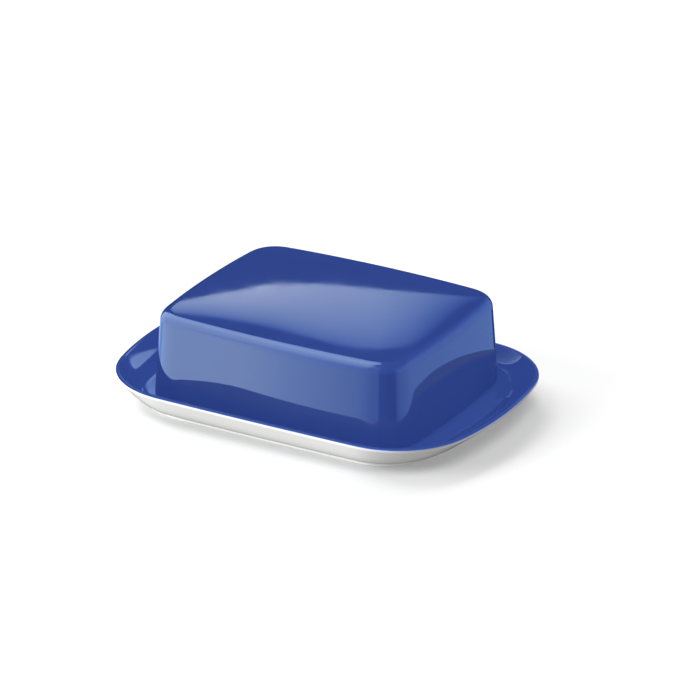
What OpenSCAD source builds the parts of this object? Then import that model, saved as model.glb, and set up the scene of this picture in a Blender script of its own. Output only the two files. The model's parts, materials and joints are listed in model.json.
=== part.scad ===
// Butter dish: a low oblong dish with a wide flared rim on a foot ring, and a
// rectangular hollow lid with gently bowed walls that stands on the dish floor.
// Both are white ceramic with a coloured glaze on the faces seen in use.
// Millimetres, +Z up. Origin at the centre of the foot plane, +X along the length.

/* [Dish rim] */
// half length of the rim, measured to the outermost point of the lip
rim_a = 94.7; // [92:0.1:100]
// half width of the rim, measured to the outermost point of the lip
rim_b = 66.8; // [64:0.1:71]
// plan radius of the rim's corners
rim_corner = 39.8; // [34:0.1:42]
// how far the long sides of the rim bow outward
rim_side_bow = 0.36; // [0.2:0.02:1.5]
// how far the ends of the rim bow outward
rim_end_bow = 2.64; // [1:0.02:4]
// height of the lip's top above the table
rim_z = 15.5; // [14:0.1:18]
// radius of the rounded lip
lip_r = 1.2; // [1:0.05:1.4]

/* [Dish floor] */
// half length of the flat floor, where the rim starts to rise
floor_a = 77.3; // [75:0.1:79]
// half width of the flat floor, where the rim starts to rise
floor_b = 58.4; // [57.6:0.1:59.5]
// plan radius of the floor's corners
floor_corner = 24; // [20:0.5:26]
// height of the glazed floor above the table
floor_z = 7.85; // [7:0.05:9]
// thickness of the floor, glaze included
floor_t = 3.6; // [3:0.1:4]

/* [Foot ring] */
// half length of the foot ring's outer wall
foot_a = 73.8; // [71:0.1:75]
// half width of the foot ring's outer wall
foot_b = 54.8; // [53:0.1:56]
// plan radius of the foot ring's corners
foot_corner = 23.5; // [18:0.5:26]
// width of the foot ring
foot_w = 3.4; // [2.6:0.1:4.5]
// height of the foot ring, where the underside of the rim leaves it
foot_h = 2.8; // [2:0.1:3.5]

/* [Lid] */
// half length of the lid at its lower edge
lid_a = 69.6; // [66:0.1:71]
// half width of the lid at its lower edge
lid_b = 57.2; // [54:0.1:57.4]
// height of the lid
lid_h = 41.4; // [36:0.1:50]
// plan radius of the lid's upright corners at its lower edge
lid_corner = 18.4; // [17:0.1:22]
// how far the long walls of the lid bow outward
lid_side_bow = 2; // [1:0.1:3]
// how far the end walls of the lid bow outward
lid_end_bow = 1.6; // [1:0.1:3]
// sine of the angle by which the walls lean inward
lid_draft = 0.07584; // [0.04:0.00001:0.09]
// radius of the lid's upper edge, outside
lid_edge = 5; // [4:0.1:6]
// wall thickness of the lid under its glaze
lid_wall = 3.2; // [2.6:0.1:3.6]
// thickness of the lid's top under its glaze
lid_top = 3.4; // [2.8:0.1:4]
// radius of the lid's upper edge, inside
lid_inner_edge = 4; // [3:0.1:4.5]

/* [Glaze] */
// thickness of the coloured glaze
glaze_t = 0.4; // [0.3:0.05:0.5]

/* [Hidden] */
blue = [0.10, 0.18, 0.52];
white = [0.95, 0.95, 0.94];
sliver = 0.001; // how far a fillet circle passes the two lines it rounds

// ---- oblong plan of four bowed sides and four tangent corner arcs ----
// plan = [half length, half width, corner radius, side bow, end bow]
function px(p) = p[0] - p[2] - p[4];                          // corner centre
function py(p) = p[1] - p[2] - p[3];
function k1(p) = (px(p) * px(p) / p[3] - p[3]) / 2;           // corner centre to side centre, along Y
function k2(p) = (py(p) * py(p) / p[4] - p[4]) / 2;           // corner centre to end centre, along X
function side_r(p) = (px(p) * px(p) / p[3] + p[3]) / 2 + p[2];
function end_r(p) = (py(p) * py(p) / p[4] + p[4]) / 2 + p[2];

// point of the plan where its outward normal points along t degrees, 0 to 90
function quarter(p, t) =
    t < atan2(py(p), k2(p)) ? [p[0] - end_r(p) + end_r(p) * cos(t), end_r(p) * sin(t)] :
    t > atan2(k1(p), px(p)) ? [side_r(p) * cos(t), p[1] - side_r(p) + side_r(p) * sin(t)] :
    [px(p) + p[2] * cos(t), py(p) + p[2] * sin(t)];

// ---- dish: rings of points that share the same outward normals ----
rim_p = [rim_a, rim_b, rim_corner, rim_side_bow, rim_end_bow];
floor_p = [floor_a, floor_b, floor_corner, 0.3, 2.8];
foot_p = [foot_a, foot_b, foot_corner, 0.3, 3];
quarter_t = [0, 1.6, 3.2, 4.75, 6, 8, 10.3, 12.6, 16, 20, 24.5, 29, 33.5, 38, 42.5, 47, 51.5, 56,
             60.5, 65, 69.5, 74, 78.5, 82.5, 86, 88.4, 89.2, 89.6, 90];
nq = len(quarter_t);
// [normal angle, quadrant signs] round the whole plan, counter-clockwise
turns = concat(
    [for (i = [0:nq - 1]) [quarter_t[i], 1, 1]],
    [for (i = [nq - 2:-1:0]) [quarter_t[i], -1, 1]],
    [for (i = [1:nq - 1]) [quarter_t[i], -1, -1]],
    [for (i = [nq - 2:-1:1]) [quarter_t[i], 1, -1]]);
nt = len(turns);
function at(p, u) = let (q = quarter(p, u[0])) [u[1] * q[0], u[2] * q[1]];
function out(u) = [u[1] * cos(u[0]), u[2] * sin(u[0])];

// point o outside a plan on normal u, at height z
function ring_pt(p, u, o, z) = let (f = at(p, u)) [f[0] + o * out(u)[0], f[1] + o * out(u)[1], z];
// point of the lip's round, a degrees above its outermost point
function lip_pt(u, a, r) = ring_pt(rim_p, u, r * cos(a) - lip_r, rim_z - lip_r + r * sin(a));

// The rim's upper and lower faces climb on a cubic that starts level and ends at slope
// 1.5 times its mean, s running from 0 to 1, and meet the lip's round at the same slope.
function climb(s) = 1.5 * s * s - 0.5 * s * s * s;
function steep(s) = 3 * s - 1.5 * s * s;
function apart(p, u) = (at(rim_p, u) - at(p, u)) * out(u);
function upper_a(u) = 90 + atan(1.5 * (rim_z - lip_r * 0.4 - floor_z) / (apart(floor_p, u) - 1.8 * lip_r));
function under_a(u) = atan(1.5 * (rim_z - 1.8 * lip_r - foot_h) / (apart(foot_p, u) - toe - 0.3 * lip_r)) - 90;
toe = 1.7;      // the underside starts this far outside the foot ring
edge_a = 30;    // the glaze ends this many degrees above the lip's outermost point

// upper face of the rim, d below the glazed surface
function rising(u, s, d) = let (
        f = at(floor_p, u), e = lip_pt(u, upper_a(u), lip_r), n = out(u),
        w = ([e[0], e[1]] - f) * n, h = e[2] - floor_z, a = atan2(h * steep(s), w))
    [f[0] + s * (e[0] - f[0]) + d * sin(a) * n[0],
     f[1] + s * (e[1] - f[1]) + d * sin(a) * n[1],
     floor_z + h * climb(s) - d * cos(a)];
// lower face of the rim
function falling(u, s) = let (f = ring_pt(foot_p, u, toe, foot_h), e = lip_pt(u, under_a(u), lip_r))
    [f[0] + s * (e[0] - f[0]), f[1] + s * (e[1] - f[1]), foot_h + (e[2] - foot_h) * climb(s)];

// rings of the upper face, d below the glaze, from the floor's edge out to the end of the glaze
function face_rings(d) = concat(
    [for (s = [0, 0.14, 0.28, 0.42, 0.56, 0.7, 0.85]) [for (u = turns) rising(u, s, d)]],
    [for (k = [0:4]) [for (u = turns) lip_pt(u, upper_a(u) + (edge_a - upper_a(u)) * k / 4, lip_r - d)]]);
// rings of the underside, from the end of the glaze in to the recess of the floor
function under_rings() = concat(
    [for (k = [0:3]) [for (u = turns) lip_pt(u, edge_a + (under_a(u) - edge_a) * k / 3, lip_r)]],
    [for (s = [0.85, 0.7, 0.56, 0.42, 0.28, 0.14, 0]) [for (u = turns) falling(u, s)]],
    [for (v = [[0.7, foot_h - 0.2], [0.25, foot_h - 0.7], [0, 0.8], [-0.2, 0.25], [-0.7, 0],
               [0.7 - foot_w, 0], [0.2 - foot_w, 0.25], [-foot_w, 0.8], [-foot_w - 0.3, floor_z - floor_t - 0.9],
               [-foot_w - 0.75, floor_z - floor_t - 0.25], [-foot_w - 1.5, floor_z - floor_t]])
        [for (u = turns) ring_pt(foot_p, u, v[0], v[1])]]);

// closed solid through a list of rings, from the capped upper ring outward, down and back
// in to the capped lower ring; from ring flip on, the quads are cut along the other diagonal
module loft(rings, flip) {
    m = len(rings);
    polyhedron(
        points = [for (r = rings) each r],
        faces = concat(
            [[for (j = [nt - 1:-1:0]) j]],
            [for (i = [0:m - 2]) for (j = [0:nt - 1])
                let (a = i * nt + j, b = i * nt + (j + 1) % nt, c = a + nt, d = b + nt)
                each (i < flip ? [[a, b, c], [b, d, c]] : [[a, b, d], [a, d, c]])],
            [[for (j = [0:nt - 1]) (m - 1) * nt + j]]),
        convexity = 6);
}
function back(l) = [for (i = [len(l) - 1:-1:0]) l[i]];

// ---- lid: one upright profile carried round the four bowed sides and the corners ----
lid_p = [lid_a, lid_b, lid_corner, lid_side_bow, lid_end_bow];
lean_s = lid_draft;
lean_c = sqrt(1 - lid_draft * lid_draft);
// outer face: its upper edge is a circle about edge_c, x measured outward from the lower edge
edge_c = [-(lid_edge + lean_s * (lid_h - lid_edge)) / lean_c, lid_h - lid_edge];
skirt = 14.5;   // depth of the profile carried round
foot_z = 0.5;   // the glaze stops this far above the lid's lower edge

// region inside the face that lies d within the outer face, its top at z1, edge radius r
module inside_face(d, z1, r, z0) {
    c = [-(d + r + lean_s * (z1 - r)) / lean_c, z1 - r];
    polygon([[-skirt, z0], [-(d + lean_s * z0) / lean_c, z0],
             [c[0] + r * lean_c, c[1] + r * lean_s], [c[0], z1], [-skirt, z1]]);
    translate(c) circle(r = r + sliver, $fn = 96);
}
module lid_body_profile() {
    d = glaze_t + lid_wall;
    difference() {
        inside_face(glaze_t, lid_h - glaze_t, lid_edge - glaze_t, 0);
        inside_face(d, lid_h - glaze_t - lid_top, lid_inner_edge, -1);
        // eased inner and outer corners of the lower edge
        polygon([[1, -1], [1, foot_z], [-(glaze_t + lean_s * foot_z) / lean_c, foot_z],
                 [-glaze_t - foot_z, 0], [-glaze_t - foot_z, -1]]);
        polygon([[-d - 1, -1], [-d + 0.8, -1], [-d + 0.8, 0], [-d - 0.2, 1], [-d - 1, 1]]);
    }
}
module lid_glaze_profile() {
    difference() {
        inside_face(0, lid_h, lid_edge, foot_z);
        inside_face(glaze_t, lid_h - glaze_t, lid_edge - glaze_t, -1);
    }
}
// the profile carried round the whole plan: eight wedges of true revolved walls
module carried() {
    p = lid_p;
    c = [px(p), py(p)];
    u = [c[0], k1(p)] * 0.1;      // from the corner centre, away from the side's centre
    v = [k2(p), c[1]] * 0.2;      // from the corner centre, away from the end's centre
    tall = lid_h + 4;
    for (m = [0, 1]) mirror([0, m, 0]) intersection() {
        translate([0, lid_b - side_r(p), 0]) rotate_extrude($fn = 1440) translate([side_r(p), 0]) children();
        translate([0, 0, -2]) linear_extrude(tall) polygon([c, c + u, [-c[0] - u[0], c[1] + u[1]], [-c[0], c[1]]]);
    }
    for (m = [0, 1]) mirror([m, 0, 0]) intersection() {
        translate([lid_a - end_r(p), 0, 0]) rotate_extrude($fn = 1440) translate([end_r(p), 0]) children();
        translate([0, 0, -2]) linear_extrude(tall) polygon([c, [c[0], -c[1]], [c[0] + v[0], -c[1] - v[1]], c + v]);
    }
    for (m = [0, 1], n = [0, 1]) mirror([m, 0, 0]) mirror([0, n, 0]) intersection() {
        translate([c[0], c[1], 0]) rotate_extrude($fn = 96) translate([lid_corner, 0]) children();
        translate([0, 0, -2]) linear_extrude(tall) polygon([c, c + v, c + [90, 90], c + u]);
    }
}
// the flat middle of the top, between z0 and z1, lapped into the carried profile
module middle(z0, z1) {
    x = lid_a - skirt + lid_end_bow + 0.3;
    y = lid_b - skirt + lid_side_bow - 0.4;
    cut = [x - px(lid_p), y - py(lid_p)] * 0.66;
    translate([0, 0, z0]) linear_extrude(z1 - z0)
        polygon([[x, y - cut[1]], [x - cut[0], y], [cut[0] - x, y], [-x, y - cut[1]],
                 [-x, cut[1] - y], [cut[0] - x, -y], [x - cut[0], -y], [x, cut[1] - y]]);
}

// ---- sub-parts ----
module dish_body() color(white) loft(concat(face_rings(glaze_t), under_rings()), 1000);
module dish_glaze() color(blue)
    loft(concat(face_rings(0), back(face_rings(glaze_t))), len(face_rings(0)) - 1);
module lid_body() color(white) translate([0, 0, floor_z]) {
    carried() lid_body_profile();
    middle(lid_h - glaze_t - lid_top, lid_h - glaze_t);
}
module lid_glaze() color(blue) translate([0, 0, floor_z]) {
    carried() lid_glaze_profile();
    middle(lid_h - glaze_t, lid_h);
}

dish_body();
dish_glaze();
lid_body();
lid_glaze();
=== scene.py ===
"""Butter dish: finished meshes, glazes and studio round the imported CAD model.

All shape work below is in millimetres and is scaled to metres when a mesh is made.
The dish and the lid repeat the plans and profiles of the CAD part; every visible face
is lofted finely through rings of points that share the same outward normals."""

import json
import math

import bpy
import numpy as np
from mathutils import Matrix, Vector

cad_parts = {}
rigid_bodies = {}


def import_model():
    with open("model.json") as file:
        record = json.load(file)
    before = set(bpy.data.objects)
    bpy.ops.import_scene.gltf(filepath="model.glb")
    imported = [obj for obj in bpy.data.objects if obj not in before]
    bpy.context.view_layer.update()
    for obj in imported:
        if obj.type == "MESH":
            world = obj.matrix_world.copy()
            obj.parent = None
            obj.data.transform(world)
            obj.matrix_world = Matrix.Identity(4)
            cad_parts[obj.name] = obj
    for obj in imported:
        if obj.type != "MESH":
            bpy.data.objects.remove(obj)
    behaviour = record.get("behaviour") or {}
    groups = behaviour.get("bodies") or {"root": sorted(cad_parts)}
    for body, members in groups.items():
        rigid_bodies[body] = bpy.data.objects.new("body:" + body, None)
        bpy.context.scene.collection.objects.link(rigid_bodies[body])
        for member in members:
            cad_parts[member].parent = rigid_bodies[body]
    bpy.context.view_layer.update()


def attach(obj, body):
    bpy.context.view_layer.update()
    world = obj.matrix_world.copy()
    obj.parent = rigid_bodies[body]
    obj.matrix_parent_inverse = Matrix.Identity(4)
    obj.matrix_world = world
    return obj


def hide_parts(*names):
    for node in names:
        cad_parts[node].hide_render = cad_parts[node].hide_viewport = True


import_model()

# ------------------------------------------------------------------ CAD dimensions
RIM = (94.7, 66.8, 39.8, 0.36, 2.64)      # half length, half width, corner, side bow, end bow
FLOOR = (77.3, 58.4, 24.0, 0.3, 2.8)
FOOT = (73.8, 54.8, 23.5, 0.3, 3.0)
LID = (69.6, 57.2, 18.4, 2.0, 1.6)
RIM_Z, LIP, FLOOR_Z, FLOOR_T = 15.5, 1.2, 7.85, 3.6
FOOT_W, FOOT_H, TOE, EDGE_A, GLAZE = 3.4, 2.8, 1.7, 30.0, 0.4
LID_H, LEAN_S, LID_EDGE, LID_WALL, LID_TOP, LID_INNER, BARE = 41.4, 0.07584, 5.0, 3.2, 3.4, 4.0, 0.5
LEAN_C = math.sqrt(1 - LEAN_S * LEAN_S)


# ------------------------------------------------------------------ plans
class Plan:
    """A quarter of a bowed oblong, read by the angle of its outward normal. The curvature
    is eased over a few millimetres where the arcs join, so a reflection runs through."""

    def __init__(self, p, ease):
        a, b, rc, ds, de = p
        px, py = a - rc - de, b - rc - ds
        k1, k2 = (px * px / ds - ds) / 2, (py * py / de - de) / 2
        side, end = (px * px / ds + ds) / 2 + rc, (py * py / de + de) / 2 + rc
        t1, t2 = math.atan2(py, k2), math.atan2(k1, px)
        runs = [end * t1, rc * (t2 - t1), side * (math.pi / 2 - t2)]
        n = 12000
        step = sum(runs) / n
        s = (np.arange(n) + 0.5) * step
        curve = np.where(s < runs[0], 1 / end, np.where(s < runs[0] + runs[1], 1 / rc, 1 / side))
        m = max(1, int(ease / step))
        w = 1 + np.cos(np.pi * np.arange(-m, m + 1) / (m + 1))
        curve = np.convolve(np.concatenate([curve[::-1], curve, curve[::-1]]), w / w.sum(), "same")[n:2 * n]
        turn = np.concatenate([[0], np.cumsum(curve * step)])
        turn *= (math.pi / 2) / turn[-1]
        mid = (turn[1:] + turn[:-1]) / 2
        x = np.concatenate([[0], np.cumsum(-np.sin(mid) * step)])
        x -= x[-1]
        y = np.concatenate([[0], np.cumsum(np.cos(mid) * step)])
        self.turn, self.x, self.y = turn, x * (a / x[0]), y * (b / y[-1])
        self.run = np.linspace(0, 1, n + 1)

    def at(self, t):
        return np.interp(t, self.turn, self.x), np.interp(t, self.turn, self.y)


def spokes(plans, per_quarter):
    """Signed unit normals round the whole plan, evenly spread along the mean of the plans."""
    grid = np.linspace(0, math.pi / 2, 20001)
    f = np.mean([np.interp(grid, p.turn, p.run) for p in plans], axis=0)
    q = np.interp(np.linspace(0, 1, per_quarter + 1), f, grid)
    q[0], q[-1] = 0.0, math.pi / 2
    t = np.concatenate([q, q[-2::-1], q[1:], q[-2:0:-1]])
    k = per_quarter
    sx = np.concatenate([np.ones(k + 1), -np.ones(k), -np.ones(k), np.ones(k - 1)])
    sy = np.concatenate([np.ones(k + 1), np.ones(k), -np.ones(k), -np.ones(k - 1)])
    return t, sx, sy


class Round:
    """The spokes of one piece, and rings made on them."""

    def __init__(self, plans, per_quarter):
        self.t, self.sx, self.sy = spokes(plans, per_quarter)
        self.n = np.stack([self.sx * np.cos(self.t), self.sy * np.sin(self.t)], 1)

    def flat(self, plan):
        x, y = plan.at(self.t)
        return np.stack([self.sx * x, self.sy * y], 1)

    def ring(self, plan, out, z):
        out = np.broadcast_to(np.asarray(out, float), self.t.shape)
        z = np.broadcast_to(np.asarray(z, float), self.t.shape)
        return np.column_stack([self.flat(plan) + out[:, None] * self.n, z])


def mesh_from_rings(name, rings, first, last, marks=None):
    """A closed mesh through rings, from a first centre point outward, over, and in to a last
    centre point. marks are named values, one for each ring, kept on the mesh's points."""
    m, nt = len(rings), len(rings[0])
    co = np.concatenate([[first], *rings, [last]]) * 0.001
    j = np.arange(nt)
    k = (j + 1) % nt
    faces = [np.column_stack([np.zeros(nt, int), 1 + j, 1 + k])]
    quads = []
    for i in range(m - 1):
        a, b = 1 + i * nt + j, 1 + i * nt + k
        quads.append(np.column_stack([a, a + nt, b + nt, b]))
    end = 1 + m * nt
    faces.append(np.column_stack([np.full(nt, end), 1 + (m - 1) * nt + k, 1 + (m - 1) * nt + j]))
    mesh = bpy.data.meshes.new(name)
    mesh.from_pydata(co.tolist(), [], faces[0].tolist() + np.concatenate(quads).tolist() + faces[1].tolist())
    mesh.validate()
    mesh.polygons.foreach_set("use_smooth", np.ones(len(mesh.polygons), bool))
    for label, values in (marks or {}).items():
        col = np.concatenate([[values[0]], np.repeat(values, nt), [values[-1]]]).astype(np.float32)
        mesh.attributes.new(label, "FLOAT", "POINT").data.foreach_set("value", col)
    mesh.update()
    obj = bpy.data.objects.new(name, mesh)
    bpy.context.scene.collection.objects.link(obj)
    return obj


# ------------------------------------------------------------------ dish
rim, floor, foot = Plan(RIM, 9.0), Plan(FLOOR, 7.0), Plan(FOOT, 7.0)
dish = Round([rim, floor, foot], 84)


def climb(s):
    return 1.5 * s * s - 0.5 * s ** 3


def steep(s):
    return 3 * s - 1.5 * s * s


def lip_at(angle, r):
    """Points of the lip's round, angle in degrees above its outermost point, one for each spoke."""
    a = np.radians(np.broadcast_to(np.asarray(angle, float), dish.t.shape))
    return dish.ring(rim, r * np.cos(a) - LIP, RIM_Z - LIP + r * np.sin(a))


def apart(plan):
    return ((dish.flat(rim) - dish.flat(plan)) * dish.n).sum(1)


upper_a = 90 + np.degrees(np.arctan(1.5 * (RIM_Z - 0.4 * LIP - FLOOR_Z) / (apart(floor) - 1.8 * LIP)))
under_a = np.degrees(np.arctan(1.5 * (RIM_Z - 1.8 * LIP - FOOT_H) / (apart(foot) - TOE - 0.3 * LIP))) - 90


def rising(s, d):
    """Upper face of the rim, d below the glazed surface, s from the floor's edge to the lip."""
    f, e = dish.flat(floor), lip_at(upper_a, LIP)
    w, h = ((e[:, :2] - f) * dish.n).sum(1), e[:, 2] - FLOOR_Z
    a = np.arctan2(h * steep(s), w)
    xy = f + s * (e[:, :2] - f) + (d * np.sin(a))[:, None] * dish.n
    return np.column_stack([xy, FLOOR_Z + h * climb(s) - d * np.cos(a)])


def falling(s):
    """Lower face of the rim, s from the foot ring to the lip."""
    f, e = dish.ring(foot, TOE, FOOT_H), lip_at(under_a, LIP)
    return np.column_stack([f[:, :2] + s * (e[:, :2] - f[:, :2]), FOOT_H + (e[:, 2] - FOOT_H) * climb(s)])


def scaled(ring, k, z):
    return np.column_stack([ring[:, :2] * k, np.full(len(ring), z)])


INWARD = [0.03, 0.08, 0.14, 0.2, 0.27, 0.34, 0.41, 0.48, 0.55, 0.62, 0.69, 0.76, 0.83, 0.89, 0.94, 0.975]
RISE = np.linspace(0, 1, 34)[:-1]
# the coat thins over the lip's round and ends in a small bead
LIPS = np.linspace(0, 1, 15)


def coat_depth(k):
    return GLAZE + (0.13 - GLAZE) * max(0.0, (k - 0.35) / 0.65) ** 1.3


def dish_top(depth):
    """Upper face: depth 0 is the glazed surface, depth 1 the china under the coat."""
    edge = rising(0.0, depth * GLAZE)
    z = FLOOR_Z - depth * GLAZE
    rings, marks = [scaled(edge, k, z) for k in INWARD], [0.0] * len(INWARD)
    for s in RISE:
        rings.append(rising(float(s), depth * GLAZE))
        marks.append(0.10 * float(s) ** 3)
    for k in LIPS:
        rings.append(lip_at(upper_a + (EDGE_A - upper_a) * k, LIP - depth * coat_depth(k)))
        marks.append(0.10 + 0.9 * float(k) ** 2.2)
    return rings, marks


def dish_coat():
    outer, om = dish_top(0)
    inner, im = dish_top(1)
    # the bead: three rings round the end of the coat
    bead = [lip_at(EDGE_A - d, LIP - e) for d, e in ((1.6, 0.012), (3.0, 0.045), (3.4, 0.085))]
    rings = outer + bead + inner[::-1]
    marks = om + [1.0, 1.0, 1.0] + im[::-1]
    return mesh_from_rings("dish_glaze_coat", rings, (0, 0, FLOOR_Z), (0, 0, FLOOR_Z - GLAZE), {"thin": marks})


def dish_china():
    rings, marks = dish_top(1)
    bare, tint = [0.0] * len(rings), [0.0] * len(rings)
    # the blue bleeds a little into the clear glaze below its edge; this tint is also painted shade, made strong
    # enough to dull the side lamp's highlight on the lip
    for a, e, b in ((EDGE_A - 3.4, 0.13, 1.0), (EDGE_A - 7, 0.12, 0.9), (EDGE_A - 11, 0.09, 0.78), (EDGE_A - 16, 0.05, 0.66), (EDGE_A - 22, 0.03, 0.56), (0, 0.02, 0.45)):
        rings.append(lip_at(a, LIP - e))
        bare.append(0.0)
        tint.append(b)
    for k in np.linspace(0, 1, 12)[1:]:
        rings.append(lip_at(under_a * k, LIP - 0.02 * (1 - k)))
        bare.append(0.0)
        tint.append(0.45 * max(0.0, 1 - 2.2 * float(k)))
    for s in np.linspace(1, 0, 34)[1:]:
        rings.append(falling(float(s)))
        bare.append(0.0)
    down = FLOOR_Z - FLOOR_T
    # from the toe over the foot ring's outer wall, its bearing face and its inner wall to the recess
    for o, z, m in ((1.25, FOOT_H - 0.03, 0), (0.9, FOOT_H - 0.12, 0), (0.6, FOOT_H - 0.3, 0), (0.35, FOOT_H - 0.56, 0), (0.17, FOOT_H - 0.9, 0),
                    (0.06, 1.5, 0), (0, 1.1, 0), (-0.01, 0.8, 0), (-0.05, 0.5, 0), (-0.14, 0.28, 0.2), (-0.28, 0.12, 0.7), (-0.46, 0.03, 1), (-0.7, 0, 1),
                    (-1.2, 0, 1), (-1.7, 0, 1), (-2.2, 0, 1), (0.7 - FOOT_W, 0, 1), (0.46 - FOOT_W, 0.03, 1), (0.28 - FOOT_W, 0.12, 0.7),
                    (0.14 - FOOT_W, 0.28, 0.2), (0.05 - FOOT_W, 0.5, 0), (-FOOT_W, 0.8, 0), (-FOOT_W - 0.08, 1.5, 0), (-FOOT_W - 0.2, down - 1.3, 0),
                    (-FOOT_W - 0.42, down - 0.7, 0), (-FOOT_W - 0.75, down - 0.3, 0), (-FOOT_W - 1.2, down - 0.08, 0), (-FOOT_W - 1.8, down, 0)):
        rings.append(dish.ring(foot, o, z))
        bare.append(float(m))
    last = rings[-1]
    for k in INWARD[::-1]:
        rings.append(scaled(last, k, down))
        bare.append(0.0)
    tint += [0.0] * (len(rings) - len(tint))
    return mesh_from_rings("dish_china", rings, (0, 0, FLOOR_Z - GLAZE), (0, 0, down), {"bare": bare, "tint": tint})


# ------------------------------------------------------------------ lid
lid_plan = Plan(LID, 6.0)
lid = Round([lid_plan], 84)
CROWN_X, CROWN_Y, PILLOW = 0.15, 0.15, 0.10       # fall of the top from its middle to its edges


def wall_x(d, z):
    return -(d + LEAN_S * z) / LEAN_C


def settle(rings, z1):
    """Lowers the rim of the top, so it is very slightly crowned; nothing moves near the foot."""
    out = []
    for r in rings:
        r = r.copy()
        x, y = r[:, 0] / 62.0, r[:, 1] / 50.0
        fall = CROWN_X * x * x + CROWN_Y * y * y + PILLOW * (x ** 4 + y ** 4)
        w = np.clip((r[:, 2] - 8.0) / (z1 - 8.0), 0, 1)
        r[:, 2] -= fall * w * w * (3 - 2 * w)
        r[:, 2] += FLOOR_Z
        out.append(r)
    return out


def lid_skin(d, z1, r, z0):
    """From the middle of the top, d within the outer face, over the edge and down to z0."""
    c = (-(d + r + LEAN_S * (z1 - r)) / LEAN_C, z1 - r)
    edge = lid.ring(lid_plan, c[0], z1)
    rings = [scaled(edge, k, z1) for k in INWARD + [0.99]]
    marks = [0.0] * len(rings)
    phi0 = math.asin(LEAN_S)
    for k in np.linspace(0, 1, 22):
        a = math.pi / 2 + (phi0 - math.pi / 2) * float(k)
        rings.append(lid.ring(lid_plan, c[0] + r * math.cos(a), c[1] + r * math.sin(a)))
        marks.append(0.16 * math.sin(math.pi * float(k)) ** 2)
    top = rings[-1][0, 2]
    for z in np.linspace(top, z0, 26)[1:]:
        rings.append(lid.ring(lid_plan, wall_x(d, z), z))
        marks.append(0.0)
    return rings, marks


def lid_coat():
    outer, om = lid_skin(0, LID_H, LID_EDGE, BARE + 0.9)
    inner, im = lid_skin(GLAZE, LID_H - GLAZE, LID_EDGE - GLAZE, BARE + 0.9)
    # the coat thins towards the foot and ends in a small bead
    for z, m in ((BARE + 0.6, 0.25), (BARE + 0.35, 0.5)):
        outer.append(lid.ring(lid_plan, wall_x(0, z), z))
        om.append(m)
    for z, e, m in ((BARE + 0.2, 0.02, 0.8), (BARE + 0.08, 0.07, 1.0), (BARE + 0.02, 0.14, 1.0)):
        outer.append(lid.ring(lid_plan, wall_x(e, z), z))
        om.append(m)
    for z, e, m in ((BARE + 0.02, 0.24, 1.0), (BARE + 0.1, 0.32, 0.8), (BARE + 0.3, 0.37, 0.5), (BARE + 0.6, GLAZE, 0.2)):
        outer.append(lid.ring(lid_plan, wall_x(e, z), z))
        om.append(m)
    rings = settle(outer + inner[::-1], LID_H)
    return mesh_from_rings("lid_glaze_coat", rings, (0, 0, FLOOR_Z + LID_H), (0, 0, FLOOR_Z + LID_H - GLAZE), {"thin": om + im[::-1]})


def lid_china():
    d = GLAZE + LID_WALL
    z1 = LID_H - GLAZE - LID_TOP
    outer, _ = lid_skin(GLAZE, LID_H - GLAZE, LID_EDGE - GLAZE, BARE + 0.6)
    bare = [0.0] * len(outer)
    for z, e, m in ((BARE + 0.3, 0.37, 0.2), (BARE + 0.1, 0.36, 0.6), (0.36, 0.4, 1), (0.2, 0.5, 1), (0.08, 0.66, 1), (0.02, 0.84, 1), (0, 1.05, 1),
                    (0, 1.6, 1), (0, 2.1, 1), (0, 2.6, 1), (0.02, d - 0.72, 1), (0.1, d - 0.44, 1), (0.26, d - 0.22, 0.8), (0.5, d - 0.08, 0.4), (0.85, d, 0)):
        outer.append(lid.ring(lid_plan, wall_x(e, z), z))
        bare.append(float(m))
    inner, _ = lid_skin(d, z1, LID_INNER, 1.6)
    rings = settle(outer + inner[::-1], LID_H)
    bare += [0.0] * len(inner)
    return mesh_from_rings("lid_china", rings, (0, 0, FLOOR_Z + LID_H - GLAZE), (0, 0, FLOOR_Z + z1), {"bare": bare})


# ------------------------------------------------------------------ materials
def nodes_of(name):
    mat = bpy.data.materials.new(name)
    mat.use_nodes = True
    nt = mat.node_tree
    nt.nodes.clear()
    out = nt.nodes.new("ShaderNodeOutputMaterial")
    p = nt.nodes.new("ShaderNodeBsdfPrincipled")
    nt.links.new(p.outputs["BSDF"], out.inputs["Surface"])
    where = nt.nodes.new("ShaderNodeTexCoord").outputs["Object"]
    return mat, nt, p, where


def noise(nt, where, scale, detail=2.0, rough=0.5, seed=0.0):
    """Noise from 0 to 1 whose features are about 1/scale metres; seed moves it along Z."""
    n = nt.nodes.new("ShaderNodeTexNoise")
    n.inputs["Scale"].default_value = scale
    n.inputs["Detail"].default_value = detail
    n.inputs["Roughness"].default_value = rough
    if seed:
        v = nt.nodes.new("ShaderNodeVectorMath")
        v.operation = "ADD"
        nt.links.new(where, v.inputs[0])
        v.inputs[1].default_value = (0.31 * seed, 0.17 * seed, 0.23 * seed)
        where = v.outputs[0]
    nt.links.new(where, n.inputs["Vector"])
    return n.outputs["Fac"]


def ramp(nt, value, low, high, to_low=0.0, to_high=1.0, smooth=True):
    m = nt.nodes.new("ShaderNodeMapRange")
    m.interpolation_type = "SMOOTHSTEP" if smooth else "LINEAR"
    for k, v in (("From Min", low), ("From Max", high), ("To Min", to_low), ("To Max", to_high)):
        m.inputs[k].default_value = v
    nt.links.new(value, m.inputs["Value"])
    return m.outputs["Result"]


def maths(nt, op, a, b):
    m = nt.nodes.new("ShaderNodeMath")
    m.operation = op
    for i, v in enumerate((a, b)):
        if isinstance(v, (int, float)):
            m.inputs[i].default_value = v
        else:
            nt.links.new(v, m.inputs[i])
    return m.outputs[0]


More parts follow.
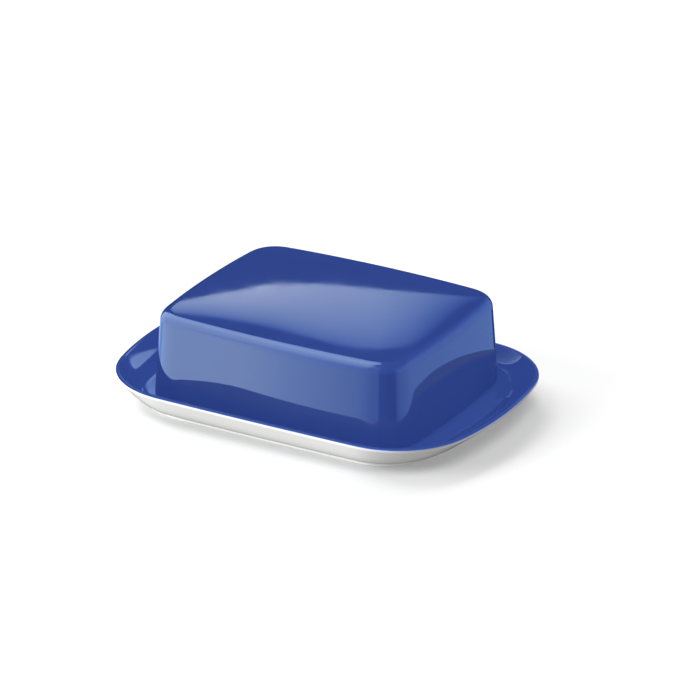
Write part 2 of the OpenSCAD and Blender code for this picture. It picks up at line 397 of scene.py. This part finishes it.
def blend_colour(nt, share, a, b):
    m = nt.nodes.new("ShaderNodeMix")
    m.data_type = "RGBA"
    for i, v in ((0, share), (6, a), (7, b)):
        if isinstance(v, (int, float)):
            m.inputs[i].default_value = v
        elif isinstance(v, tuple):
            m.inputs[i].default_value = (*v, 1)
        else:
            nt.links.new(v, m.inputs[i])
    return m.outputs[2]


def bumps(nt, p, layers):
    """Stacks bump layers (height, metres) and feeds the shader's normal."""
    last = None
    for height, depth in layers:
        b = nt.nodes.new("ShaderNodeBump")
        b.inputs["Strength"].default_value = 1.0
        b.inputs["Distance"].default_value = depth
        nt.links.new(height, b.inputs["Height"])
        if last is not None:
            nt.links.new(last, b.inputs["Normal"])
        last = b.outputs["Normal"]
    nt.links.new(last, p.inputs["Normal"])
    return last


def mark(nt, label):
    a = nt.nodes.new("ShaderNodeAttribute")
    a.attribute_type = "GEOMETRY"
    a.attribute_name = label
    return a.outputs["Fac"]


def blue_glaze():
    mat, nt, p, where = nodes_of("blue_glaze_gloss")
    deep, full, pale = (0.0205, 0.0420, 0.185), (0.0225, 0.0455, 0.200), (0.029, 0.057, 0.238)
    cloud = ramp(nt, noise(nt, where, 22.0, 3.0), 0.32, 0.68)
    mottle = ramp(nt, noise(nt, where, 520.0, 3.0, 0.6, 1.0), 0.3, 0.7)
    colour = blend_colour(nt, cloud, deep, full)
    colour = blend_colour(nt, maths(nt, "MULTIPLY", mottle, 0.10), colour, (0.027, 0.055, 0.235))
    # thinner, paler colour where the coat runs off an edge
    thin = maths(nt, "MULTIPLY", mark(nt, "thin"), maths(nt, "ADD", 0.7, maths(nt, "MULTIPLY", mottle, 0.3)))
    colour = blend_colour(nt, thin, colour, pale)
    nt.links.new(colour, p.inputs["Base Color"])
    p.inputs["IOR"].default_value = 1.6
    nt.links.new(ramp(nt, noise(nt, where, 90.0, 4.0, 0.6, 2.0), 0.3, 0.7, 0.012, 0.03), p.inputs["Roughness"])
    bumps(nt, p, ((noise(nt, where, 26.0, 1.0, 0.4, 3.0), 0.000009), (noise(nt, where, 240.0, 2.0, 0.5, 4.0), 0.0000008)))
    return mat


def white_china():
    mat, nt, p, where = nodes_of("white_china_glazed")
    cloud = ramp(nt, noise(nt, where, 18.0, 3.0, 0.5, 5.0), 0.3, 0.7)
    colour = blend_colour(nt, cloud, (0.80, 0.80, 0.79), (0.84, 0.84, 0.835))
    # a few fine iron specks in the body, seen through the clear glaze
    speck = ramp(nt, noise(nt, where, 900.0, 0.0, 0.5, 6.0), 0.80, 0.84)
    colour = blend_colour(nt, maths(nt, "MULTIPLY", speck, 0.35), colour, (0.42, 0.36, 0.28))
    bare = mark(nt, "bare")
    grain = noise(nt, where, 2600.0, 3.0, 0.65, 7.0)
    biscuit = blend_colour(nt, grain, (0.66, 0.63, 0.58), (0.79, 0.77, 0.73))
    colour = blend_colour(nt, bare, colour, biscuit)
    # blue bleed below the coat's edge, partly painted shade that dulls the lamp's highlight on the lip
    colour = blend_colour(nt, mark(nt, "tint"), colour, (0.36, 0.43, 0.66))
    nt.links.new(colour, p.inputs["Base Color"])
    p.inputs["IOR"].default_value = 1.52
    gloss = ramp(nt, noise(nt, where, 80.0, 3.0, 0.6, 8.0), 0.3, 0.7, 0.07, 0.13)
    nt.links.new(maths(nt, "ADD", gloss, maths(nt, "MULTIPLY", bare, 0.5)), p.inputs["Roughness"])
    bumps(nt, p, ((noise(nt, where, 70.0, 1.0, 0.4, 9.0), 0.00003), (maths(nt, "MULTIPLY", grain, bare), 0.00006)))
    return mat


glaze_mat, china_mat = blue_glaze(), white_china()
for make, body, node, slot_name, mat in ((dish_china, "dish", "dish_body", "white_ceramic", china_mat), (dish_coat, "dish", "dish_glaze", "blue_glaze", glaze_mat),
                                         (lid_china, "lid", "lid_body", "white_ceramic", china_mat), (lid_coat, "lid", "lid_glaze", "blue_glaze", glaze_mat)):
    piece = make()
    piece.data.materials.append(mat)
    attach(piece, body)
    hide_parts(node)


# ------------------------------------------------------------------ studio
def plane(name, centre, right, up, width, height):
    c, r, u = Vector(centre), Vector(right).normalized(), Vector(up).normalized()
    pts = [c + r * (i * width / 2) + u * (j * height / 2) for i, j in ((-1, -1), (1, -1), (1, 1), (-1, 1))]
    mesh = bpy.data.meshes.new(name)
    mesh.from_pydata([tuple(p) for p in pts], [], [(0, 1, 2, 3)])
    uv = mesh.uv_layers.new(name="UVMap")
    for i, v in enumerate(((0, 0), (1, 0), (1, 1), (0, 1))):
        uv.data[i].uv = v
    obj = bpy.data.objects.new(name, mesh)
    bpy.context.scene.collection.objects.link(obj)
    return obj


scene = bpy.context.scene
scene.view_settings.view_transform = "Standard"
scene.view_settings.look = "None"
scene.view_settings.exposure = 0.0
scene.view_settings.gamma = 1.0

ground = plane("studio_floor", (0, 0, 0), (1, 0, 0), (0, 1, 0), 12.0, 12.0)
fmat = bpy.data.materials.new("studio_floor_paper")
fmat.use_nodes = True
fp = fmat.node_tree.nodes["Principled BSDF"]
fp.inputs["Base Color"].default_value = (0.88, 0.88, 0.88, 1)
fp.inputs["Roughness"].default_value = 0.9
fp.inputs["Specular IOR Level"].default_value = 0.0
ground.data.materials.append(fmat)
ground.visible_glossy = False
ground.visible_diffuse = False

world = bpy.data.worlds.new("studio")
scene.world = world
world.use_nodes = True
bg = world.node_tree.nodes["Background"]
bg.inputs["Color"].default_value = (1, 1, 1, 1)
bg.inputs["Strength"].default_value = 0.5
world.cycles_visibility.glossy = False

camera_data = bpy.data.cameras.new("camera")
camera = bpy.data.objects.new("camera", camera_data)
scene.collection.objects.link(camera)
scene.camera = camera
AZ, EL, DIST = math.radians(29.84), math.radians(23.694), 2.36697
back = Vector((math.sin(AZ) * math.cos(EL), -math.cos(AZ) * math.cos(EL), math.sin(EL)))
target = Vector((0.007933, -0.004034, 0.03474))
camera.location = target + back * DIST
camera.rotation_mode = "QUATERNION"
camera.rotation_quaternion = (-back).to_track_quat("-Z", "Y")
camera_data.sensor_width = 36.0
camera_data.lens = 273.85
camera_data.clip_start, camera_data.clip_end = 0.1, 100.0


def gloss_only(obj):
    obj.visible_camera = False
    obj.visible_diffuse = False
    obj.visible_transmission = False
    obj.visible_volume_scatter = False
    obj.visible_shadow = False


def mul(nt, *v):
    r = v[0]
    for w in v[1:]:
        r = maths(nt, "MULTIPLY", r, w)
    return r


def minus(nt, a, b):
    return maths(nt, "SUBTRACT", a, b)


def plus(nt, a, b):
    return maths(nt, "ADD", a, b)


def table(nt, value, stops, top=4.0):
    """Piecewise linear values from 0 to top."""
    r = nt.nodes.new("ShaderNodeValToRGB")
    r.color_ramp.interpolation = "LINEAR"
    low, high = stops[0][0], stops[-1][0]
    nt.links.new(ramp(nt, value, low, high, smooth=False), r.inputs[0])
    for i, (a, v) in enumerate(stops):
        e = r.color_ramp.elements[0] if i == 0 else r.color_ramp.elements[-1] if i == len(stops) - 1 else r.color_ramp.elements.new((a - low) / (high - low))
        e.color = (v / top, v / top, v / top, 1)
    return maths(nt, "MULTIPLY", r.outputs[0], top)


def power(nt, v, by, peak, at):
    return maths(nt, "MULTIPLY", maths(nt, "POWER", maths(nt, "MAXIMUM", v, 0.0001), by), peak / at ** by)


def receive(obj, only):
    group = bpy.data.collections.new(obj.name + "_receivers")
    for o in only:
        group.objects.link(o)
    obj.light_linking.receiver_collection = group


def shell(name, radius, only):
    """A shell round the studio that only gloss rays meet; it shows only to some pieces and is
    otherwise clear. Returns its nodes, its emission, and the azimuth (degrees from -Y towards
    +X, 0 to 360) and elevation of each of its points."""
    mesh = bpy.data.meshes.new(name)
    rows, cols = 24, 48
    pts = [(radius * math.cos(e) * math.cos(a), radius * math.cos(e) * math.sin(a), radius * math.sin(e))
           for e in np.linspace(-math.pi / 2 + 0.02, math.pi / 2 - 0.02, rows) for a in np.linspace(0, 2 * math.pi, cols, endpoint=False)]
    quads = [(i * cols + j, i * cols + (j + 1) % cols, (i + 1) * cols + (j + 1) % cols, (i + 1) * cols + j) for i in range(rows - 1) for j in range(cols)]
    mesh.from_pydata(pts, [], quads)
    obj = bpy.data.objects.new(name, mesh)
    scene.collection.objects.link(obj)
    gloss_only(obj)
    receive(obj, only)
    mat = bpy.data.materials.new(name)
    mat.use_nodes = True
    nt = mat.node_tree
    nt.nodes.clear()
    out = nt.nodes.new("ShaderNodeOutputMaterial")
    em = nt.nodes.new("ShaderNodeEmission")
    both = nt.nodes.new("ShaderNodeAddShader")
    nt.links.new(em.outputs[0], both.inputs[0])
    nt.links.new(nt.nodes.new("ShaderNodeBsdfTransparent").outputs[0], both.inputs[1])
    nt.links.new(both.outputs[0], out.inputs["Surface"])
    mat.cycles.emission_sampling = "NONE"
    mesh.materials.append(mat)
    unit = nt.nodes.new("ShaderNodeVectorMath")
    unit.operation = "NORMALIZE"
    nt.links.new(nt.nodes.new("ShaderNodeTexCoord").outputs["Object"], unit.inputs[0])
    xyz = nt.nodes.new("ShaderNodeSeparateXYZ")
    nt.links.new(unit.outputs[0], xyz.inputs[0])
    x, y, z = xyz.outputs
    el = maths(nt, "MULTIPLY", maths(nt, "ARCSINE", z, 0), 180 / math.pi)
    turn = maths(nt, "MULTIPLY", maths(nt, "ARCTAN2", x, maths(nt, "MULTIPLY", y, -1.0)), 180 / math.pi)
    az = maths(nt, "MODULO", plus(nt, turn, 720.0), 360.0)
    return nt, em, az, el


def glow(nt, em, red, green, blue):
    rgb = nt.nodes.new("ShaderNodeCombineXYZ")
    for i, v in enumerate((red, green, blue)):
        nt.links.new(v, rgb.inputs[i])
    nt.links.new(rgb.outputs[0], em.inputs["Color"])
    em.inputs["Strength"].default_value = 1.0


def lid_surroundings(only):
    """What the lid mirrors: a tall soft box on the left, a dim wall on the right and behind,
    and a low reflector behind."""
    nt, em, az, el = shell("studio_surroundings", 90.0, only)
    # the low reflector, which the top mirrors: brightest along its lower edge
    at_edge = table(nt, az, ((207.2, 0.0), (207.7, 0.17), (208.2, 0.5), (208.7, 0.85), (209.2, 1.2), (209.6, 1.33), (210.1, 1.5), (210.5, 1.68),
                             (210.9, 1.92), (211.4, 2.0), (211.8, 1.9), (213.6, 1.8), (214.6, 0.0)))
    fall = table(nt, az, ((207.7, 0.33), (208.7, 0.35), (209.2, 0.43), (209.6, 0.5), (210.1, 0.64), (210.5, 0.83), (210.9, 1.1), (211.4, 1.2), (212.0, 1.2)))
    edge = table(nt, az, ((210.9, 0.0), (211.4, 0.15), (211.8, 0.2), (212.1, 0.3), (212.6, 0.5), (213.4, 0.7)))
    over = minus(nt, el, 22.8)
    top_line = table(nt, az, ((207.0, 1.6), (208.2, 1.75), (208.7, 2.1), (209.2, 2.25), (209.6, 2.25), (210.1, 2.12), (210.5, 1.9), (210.9, 1.72), (211.4, 1.56), (211.8, 1.48),
                              (213.0, 1.25)))
    low = maths(nt, "MAXIMUM", minus(nt, at_edge, mul(nt, fall, over)), 0.0)
    low = mul(nt, low, ramp(nt, minus(nt, over, edge), 0.0, 0.07), ramp(nt, minus(nt, top_line, over), 0.0, 0.3))
    # the soft box
    shift = maths(nt, "MODULO", plus(nt, az, 160.0), 360.0)         # left side in one piece: 200 -> 0, 360 -> 160
    left = table(nt, shift, ((0, 0.0), (8.5, 0.0), (11, 1.1), (25, 1.7), (40, 2.0), (70, 1.9), (100, 2.1), (115, 2.25), (128, 2.3), (131, 1.95),
                             (133, 1.6), (136, 1.28), (139, 0.98), (142, 0.72), (152, 0.5), (163, 0.42), (175, 0.37), (181, 0.27), (183, 0.05), (200, 0.03), (210, 0.0)))
    rise = ramp(nt, el, 10.0, 70.0, 0.8, 1.4, smooth=False)
    before = mul(nt, ramp(nt, az, 300.0, 270.0), ramp(nt, az, 100.0, 150.0))
    rise = plus(nt, maths(nt, "MULTIPLY", before, rise), minus(nt, 1.0, before))
    bound = minus(nt, table(nt, az, ((0, 0), (200, 0), (206, 99.5), (211, 97.5), (217, 99), (225, 99), (232, 96), (236, 84), (240, 71), (246, 57), (254, 43), (262, 30),
                                     (270, 15), (280, 0)), 120.0), 70.0)
    floor_share = table(nt, shift, ((45, 0.2), (53, 0.25), (58, 0.42), (64, 0.78), (69, 1.0), (210, 1.0)))
    fade = minus(nt, 1.0, mul(nt, minus(nt, 1.0, floor_share), ramp(nt, el, 4.0, -20.0)))
    dip = minus(nt, 1.0, mul(nt, 0.35, ramp(nt, el, 8.0, 30.0), ramp(nt, el, 74.0, 58.0), ramp(nt, az, 310.0, 328.0)))
    left = mul(nt, left, rise, ramp(nt, el, 82.0, 68.0), ramp(nt, minus(nt, el, bound), -2.0, 5.0), fade, dip)
    # pale floor beyond the lid's left corner, seen at a grazing angle
    left = plus(nt, left, mul(nt, 0.6, ramp(nt, az, 212.0, 219.0), ramp(nt, az, 258.0, 246.0), ramp(nt, el, -8.0, -14.0)))
    right = table(nt, az, ((0, 0.0), (74, 0.0), (82, 0.25), (90, 0.35), (105, 0.42), (125, 0.45), (150, 0.42), (165, 0.36), (180, 0.2), (190, 0.07), (197, 0.0), (360, 0.0)))
    right_line = minus(nt, table(nt, az, ((0, 0), (150, 0), (165, 20), (172, 40), (178, 55), (185, 65), (195, 73), (205, 81)), 120.0), 60.0)
    right = mul(nt, right, ramp(nt, el, 46.0, 14.0), ramp(nt, minus(nt, el, right_line), -3.0, 3.0))
    side = plus(nt, left, right)
    glow(nt, em, plus(nt, side, low), plus(nt, power(nt, side, 0.85, 2.85, 2.1), power(nt, low, 0.8, 1.9, 1.66)),
         plus(nt, power(nt, side, 0.6, 3.7, 2.1), power(nt, low, 0.5, 2.06, 1.66)))


def dish_surroundings(only):
    """What the dish mirrors: mostly dark, with a dim front and a few small bright things."""
    nt, em, az, el = shell("studio_dish_surroundings", 80.0, only)
    front = mul(nt, table(nt, az, ((0, 0.35), (25, 0.2), (50, 0.0), (292, 0.0), (303, 0.4), (335, 0.4), (348, 0.35), (360, 0.35))), ramp(nt, el, 75.0, 60.0), ramp(nt, el, -14.0, 4.0))
    side = plus(nt, front, 0.03)
    # small bright things: azimuth, elevation, half widths and light of each
    for a, e, da, de, light in ((173.5, 30.0, 3.5, 5.5, 1.2), (205.0, 16.5, 3.0, 7.5, 0.55), (283.0, 40.0, 7.0, 6.0, 1.7), (221.0, 34.0, 3.5, 3.5, 0.7), (212.4, 24.9, 0.9, 0.8, 0.7)):
        da, de = 1 / da, 1 / de
        off_a, off_e = maths(nt, "MULTIPLY", minus(nt, az, a), da), maths(nt, "MULTIPLY", minus(nt, el, e), de)
        r = maths(nt, "SQRT", plus(nt, mul(nt, off_a, off_a), mul(nt, off_e, off_e)), 0)
        side = plus(nt, side, ramp(nt, r, 1.15, 0.8, 0.0, light))
    glow(nt, em, side, power(nt, side, 0.85, 2.85, 2.1), power(nt, side, 0.6, 3.7, 2.1))


def painted_ground_shade(name, colour, z, only):
    """Painted shade: a dim sheet on the ground close round the dish, which only the glazes mirror, standing for the
    shaded floor there.
    """
    cx, cy, hx, hy, r = 0.0150, -0.011, 0.116, 0.115, 0.050
    pts = []
    for qx, qy, a0 in ((1, 1, 0), (-1, 1, 90), (-1, -1, 180), (1, -1, 270)):
        for k in range(25):
            a = math.radians(a0 + 90 * k / 24)
            pts.append((cx + qx * (hx - r) + r * math.cos(a), cy + qy * (hy - r) + r * math.sin(a), z))
    mesh = bpy.data.meshes.new(name)
    mesh.from_pydata(pts, [], [tuple(range(len(pts)))])
    obj = bpy.data.objects.new(name, mesh)
    scene.collection.objects.link(obj)
    gloss_only(obj)
    receive(obj, only)
    mat = bpy.data.materials.new(name)
    mat.use_nodes = True
    nt = mat.node_tree
    nt.nodes.clear()
    out = nt.nodes.new("ShaderNodeOutputMaterial")
    em = nt.nodes.new("ShaderNodeEmission")
    em.inputs["Color"].default_value = (*colour, 1)
    nt.links.new(em.outputs[0], out.inputs["Surface"])
    mat.cycles.emission_sampling = "NONE"
    mesh.materials.append(mat)


def lamp(name, az, el, strength, spread, only, blockers=None):
    """A soft far lamp: azimuth from -Y towards +X, elevation, and angular size in degrees."""
    data = bpy.data.lights.new(name, "SUN")
    data.energy = strength
    data.angle = math.radians(spread)
    obj = bpy.data.objects.new(name, data)
    scene.collection.objects.link(obj)
    a, e = math.radians(az), math.radians(el)
    obj.rotation_mode = "QUATERNION"
    obj.rotation_quaternion = (-Vector((math.sin(a) * math.cos(e), -math.cos(a) * math.cos(e), math.sin(e)))).to_track_quat("-Z", "Y")
    obj.visible_glossy = False
    receive(obj, only)
    if blockers is not None:
        group = bpy.data.collections.new(name + "_blockers")
        for o in blockers:
            group.objects.link(o)
        obj.light_linking.blocker_collection = group


def backdrop():
    """A white cyclorama that only the camera sees, behind and above the floor."""
    mesh = bpy.data.meshes.new("studio_backdrop")
    rows, cols = 12, 48
    pts = [(7 * math.cos(e) * math.cos(a), 7 * math.cos(e) * math.sin(a), 7 * math.sin(e))
           for e in np.linspace(-math.pi / 2 + 0.02, math.pi / 2 - 0.02, rows) for a in np.linspace(0, 2 * math.pi, cols, endpoint=False)]
    quads = [(i * cols + j, i * cols + (j + 1) % cols, (i + 1) * cols + (j + 1) % cols, (i + 1) * cols + j) for i in range(rows - 1) for j in range(cols)]
    mesh.from_pydata(pts, [], quads)
    obj = bpy.data.objects.new("studio_backdrop", mesh)
    scene.collection.objects.link(obj)
    gloss_only(obj)
    obj.visible_glossy = False
    obj.visible_camera = True
    mat = bpy.data.materials.new("studio_backdrop")
    mat.use_nodes = True
    nt = mat.node_tree
    nt.nodes.clear()
    out = nt.nodes.new("ShaderNodeOutputMaterial")
    em = nt.nodes.new("ShaderNodeEmission")
    em.inputs["Color"].default_value = (1, 1, 1, 1)
    em.inputs["Strength"].default_value = 1.05
    nt.links.new(em.outputs[0], out.inputs["Surface"])
    mat.cycles.emission_sampling = "NONE"
    mesh.materials.append(mat)


dish_blue, dish_white, lid_blue, lid_white = (bpy.data.objects[n] for n in ("dish_glaze_coat", "dish_china", "lid_glaze_coat", "lid_china"))
lid_surroundings([lid_blue, dish_white, lid_white])
dish_surroundings([dish_blue])
# painted shade: the glazes mirror this dim sheet as the shaded floor close round the dish
painted_ground_shade("studio_near_ground", (0.125, 0.145, 0.20), 0.00002, [dish_blue, lid_blue])
backdrop()
blue, white = [dish_blue, lid_blue], [dish_white, lid_white]
for name, az, el, strength in (("floor_back_left", 225, 42, 1.094), ("floor_left", 270, 42, 0.839), ("floor_front_left", 315, 22, 1.651), ("floor_front_right", 45, 60, 0.80)):
    lamp(name, az, el, strength, 32, [ground])
lamp("china_left", 296, 22, 9.0, 60, white, blockers=blue + white)
# an even light from all round brings out the colour of the blue
for az in range(30, 390, 60):
    lamp("glaze_side_%03d" % (az % 360), az, 12, {330: 2.02, 390: 1.88, 90: 1.62, 270: 1.02}.get(az, 1.31), 70, blue, blockers=[ground])
lamp("glaze_over_lid", 0, 90, 1.30, 70, [lid_blue], blockers=[ground])
lamp("glaze_over_dish", 0, 90, 1.08, 70, [dish_blue], blockers=[ground])
